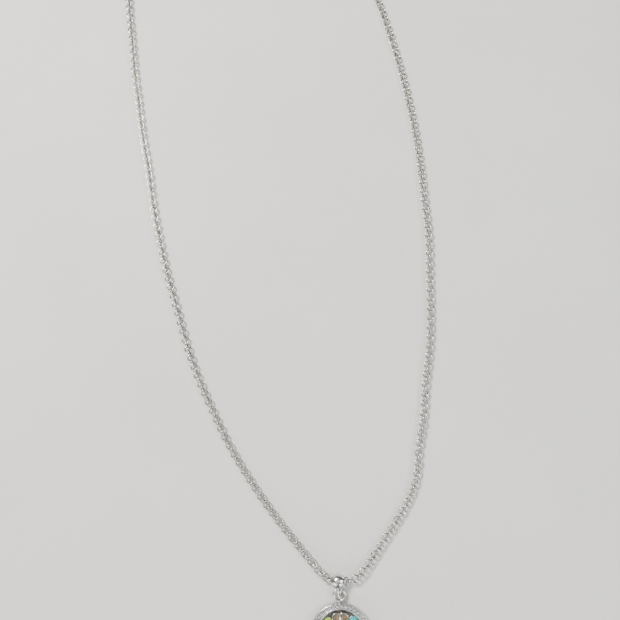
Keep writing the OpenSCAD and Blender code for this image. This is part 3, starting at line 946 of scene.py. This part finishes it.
def combine(made, shape, place, operation):
    """Adds a shape to a piece, or cuts it out, with an exact boolean."""
    mesh = bpy.data.meshes.new("tool")
    mesh.from_pydata([(place @ Vector(point)) * MM for point in shape[0]], [], shape[1])
    work = bmesh.new()
    work.from_mesh(mesh)
    bmesh.ops.remove_doubles(work, verts=work.verts, dist=0.001 * MM)
    bmesh.ops.recalc_face_normals(work, faces=work.faces)
    for face in work.faces:
        face.smooth = True
    for edge in work.edges:
        edge.smooth = edge.calc_face_angle(0.0) < CREASE
    work.to_mesh(mesh)
    work.free()
    tool = bpy.data.objects.new("tool", mesh)
    bpy.context.collection.objects.link(tool)
    modifier = made.modifiers.new("boolean", "BOOLEAN")
    modifier.operation, modifier.solver, modifier.object = operation, "EXACT", tool
    settle(made)
    bpy.data.objects.remove(tool)


def settle(made):
    """Bakes a piece's modifiers into its mesh."""
    result = bpy.data.meshes.new_from_object(made.evaluated_get(bpy.context.evaluated_depsgraph_get()))
    made.modifiers.clear()
    made.data = result


def soften(made, width_mm):
    """Rounds a piece's sharp edges."""
    modifier = made.modifiers.new("round", "BEVEL")
    modifier.width, modifier.segments, modifier.angle_limit = width_mm * MM, 3, CREASE
    modifier.harden_normals = True
    settle(made)


def cylinder(x, y, radius, low, high, count=32):
    """A capped cylinder about the upright line through (x, y)."""
    return loft([circle(radius, low, count, x, y), circle(radius, high, count, x, y)])


def section(centre, side, half, thick):
    """A rounded oblong across a clasp part: half its width along side, its thickness along Z."""
    ring = []
    for k in range(36):
        u, v = math.cos(TAU * k / 36), math.sin(TAU * k / 36)
        u, v = math.copysign(abs(u) ** 0.55, u), math.copysign(abs(v) ** 0.55, v)
        ring.append(Vector((*centre, CLASP_MID)) + side * half * u + Vector((0, 0, thick / 2 * v)))
    return ring


def hook_shape(radius, half, thick, start, end):
    """A round bar bent about the hook's middle, with domed ends, angles in degrees."""
    rings, count = [], 56
    dome = 0.6 * half  # how much of the bar's length a domed end takes
    for k in range(count + 1):
        t = k / count
        turn = math.radians(start + (end - start) * t)
        end_gap = min(t, 1 - t) * abs(math.radians(end - start)) * radius
        short = max(0.0, 1 - end_gap / dome)
        grow = max(0.25, math.sqrt(1 - short**2))
        out = Vector((math.cos(turn), math.sin(turn), 0))
        centre = (radius * out.x, HOOK_Y + radius * out.y)
        rings.append(section(centre, out, half * grow, thick * (0.5 + 0.5 * grow)))
    return loft(rings)


def shank_shape():
    """The tapered shank between the eyelet and the hook."""
    stations = [  # along the shank, half the width there, and the thickness
        (0.86, 0.50, 0.9), (0.92, 0.66, 1.3), (1.05, 0.76, 1.6), (1.5, 0.96, 1.95), (2.4, 1.18, 2.16),
        (3.3, 1.30, 2.18), (4.1, 1.42, 2.18), (4.6, 1.36, 2.12), (4.95, 1.05, 1.9),
    ]
    side = Vector((1, 0, 0))
    return loft([section((0.0, y), side, half, thick) for y, half, thick in smooth_path(stations, 4)])


def lever_outline():
    """The lever: a thumb piece, a boss round the pin and the gate that closes the hook."""
    thumb = [
        (0.1, 2.42), (0.45, 2.32), (0.85, 2.38), (1.18, 2.72),
        (2.15, 2.86), (2.32, 3.05), (2.22, 3.28), (1.45, 3.5),
    ]
    outside = arc(0, HOOK_Y, HOOK_R - 0.14, -41.0, 24.0, 16)
    tip = arc(*PIN_AT, TIP_SWEEP_R - 0.24, 71.4, 84.9, 5)
    inside = arc(0, HOOK_Y, HOOK_HOLE_R + 0.12, 52.0, -60.7, 22)
    return thumb + outside + tip + inside + [(0.35, 4.2), (-0.05, 3.1), (-0.08, 2.7)]


def spring_shape():
    """A coil of fine wire round the pin."""
    turns, steps, sides, wire = 2.5, 90, 10, 0.055
    rings = []
    for k in range(steps + 1):
        turn = TAU * turns * k / steps
        out = Vector((math.cos(turn), math.sin(turn), 0))
        middle = Vector((*PIN_AT, CLASP_MID + 0.17)) + out * 0.405 + Vector((0, 0, 0.17 * k / steps))
        rings.append([middle + (out * math.cos(a) + Vector((0, 0, 1)) * math.sin(a)) * wire
                      for a in (TAU * j / sides for j in range(sides))])
    return loft(rings)


def case_pieces():
    """A hook on a shank, cut out for the lever and its pin, with an eyelet at its end."""
    bar = (HOOK_R + HOOK_HOLE_R) / 2
    hook = hook_shape(bar, (HOOK_R - HOOK_HOLE_R) / 2, CLASP_TOP - 0.02, -40, -322)
    case = piece("clasp_case", hook, CLASP_SILVER, "clasp", "polished_silver", "clasp_body", CLASP)
    combine(case, shank_shape(), CLASP, "UNION")
    sweep = arc(*PIN_AT, TIP_SWEEP_R, 55, 94, 14) + [(0.162, 6.6), (3.2, 6.6)]
    slot = [(-0.55, 2.0), (3.0, 2.0), (3.0, 6.5), (0.5, 6.5), (-0.75, 5.6)]
    cuts = [
        prism(sweep, -1, CLASP_TOP + 1),
        prism(slot, CLASP_MID - SLOT_HALF, CLASP_MID + SLOT_HALF),
        cylinder(*PIN_AT, PIN_HOLE_R, -1, CLASP_TOP + 1),
    ]
    for cut in cuts:
        combine(case, cut, CLASP, "DIFFERENCE")
    inner, outer, low, high = 0.63, 1.11, CLASP_MID - 0.34, CLASP_MID + 0.34
    profile = rounded([(inner, low), (outer, low), (outer, high), (inner, high)], 0.2)
    eyelet = lathe(profile, 48, closed=True)
    piece("clasp_eyelet", eyelet, CLASP_SILVER, "clasp", "polished_silver", None, CLASP)


def lever_pieces():
    """The lever, hollowed on one side for the spring, and the pin and spring in it."""
    gate = prism(lever_outline(), CLASP_MID - LEVER_HALF, CLASP_MID + LEVER_HALF)
    lever = piece("lever_gate", gate, CLASP_SILVER, "clasp_lever", "polished_silver", "clasp_lever", CLASP)
    soften(lever, 0.09)
    combine(lever, cylinder(*PIN_AT, LEVER_HOLE_R, 0, CLASP_TOP), CLASP, "DIFFERENCE")
    combine(lever, cylinder(*PIN_AT, 0.5, CLASP_MID + 0.06, CLASP_TOP), CLASP, "DIFFERENCE")
    low, high = 0.15, CLASP_TOP - 0.15
    pin = [
        (0.0, low), (0.2, low + 0.01), (0.27, low + 0.05), (0.3, low + 0.12),
        (0.3, high - 0.12), (0.27, high - 0.05), (0.2, high - 0.01), (0.0, high),
    ]
    place = CLASP @ Matrix.Translation((*PIN_AT, 0))
    piece("pin_rod", lathe(pin, 32), STEEL, "clasp", "spring_steel", "clasp_pin", place)
    piece("spring_coil", spring_shape(), STEEL, "clasp", "spring_steel", "clasp_spring", CLASP)


def clasp_pieces():
    """The clasp's case and its eyelet, and the lever with its pin and spring."""
    case_pieces()
    lever_pieces()


clasp_pieces()
